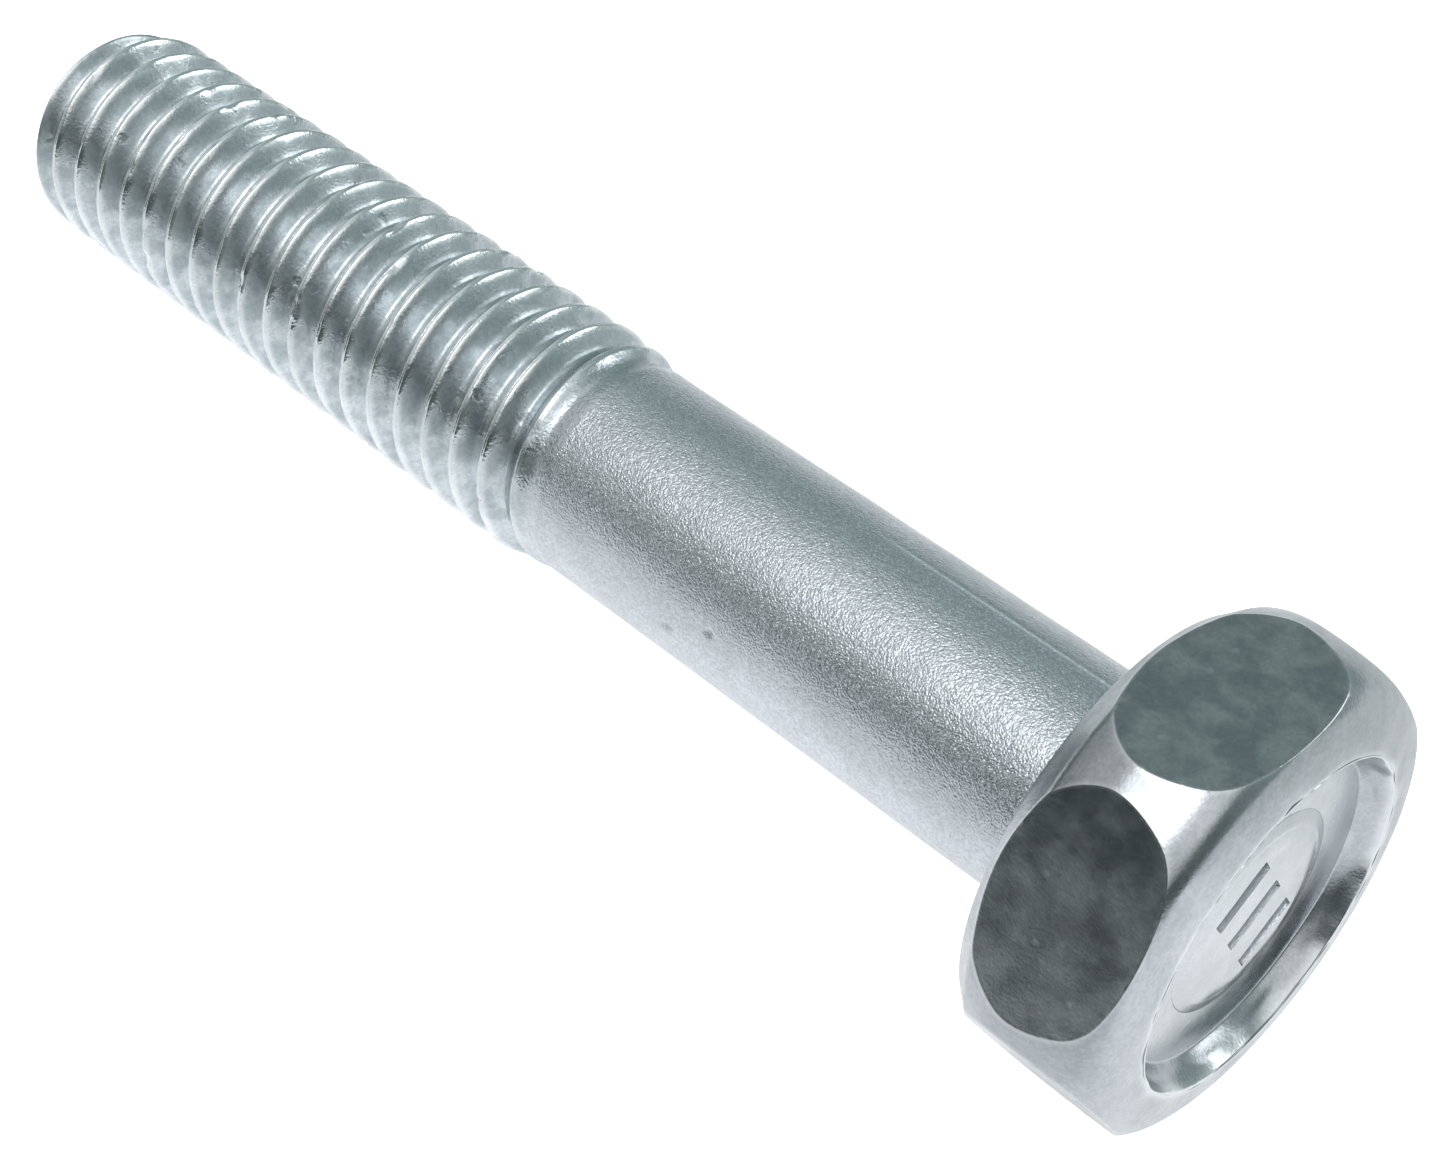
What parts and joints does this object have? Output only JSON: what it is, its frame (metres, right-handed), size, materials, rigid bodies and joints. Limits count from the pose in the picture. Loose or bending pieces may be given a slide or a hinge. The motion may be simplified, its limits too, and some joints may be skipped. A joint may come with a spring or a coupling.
{
  "type": "hex bolt",
  "caption": "Partly threaded hex head bolt in bright zinc-plated steel with a dished head, rounded corners, a reduced plain shank and a rolled thread.",
  "frame": {"origin": "centre of the bearing face under the head, on the bolt's axis", "axes": "+X along the bolt from the bearing face to the point; +Z and -Z are the normals of two opposite flats of the head; +Y makes the frame right-handed"},
  "size_m": [0.0388, 0.0112, 0.01],
  "materials": {
    "head_zinc": "bright zinc plate, satin",
    "shank_zinc": "bright zinc plate, pebbled and lightly dragged",
    "thread_zinc": "bright zinc plate, smooth rolled"
  },
  "bodies": {
    "root": {"hex_head": "head_zinc", "marking_pad": "head_zinc", "neck_fillet": "shank_zinc", "plain_shank": "shank_zinc", "thread_runout": "thread_zinc", "rolled_thread": "thread_zinc", "chamfered_point": "thread_zinc"}
  },
  "joints": []
}
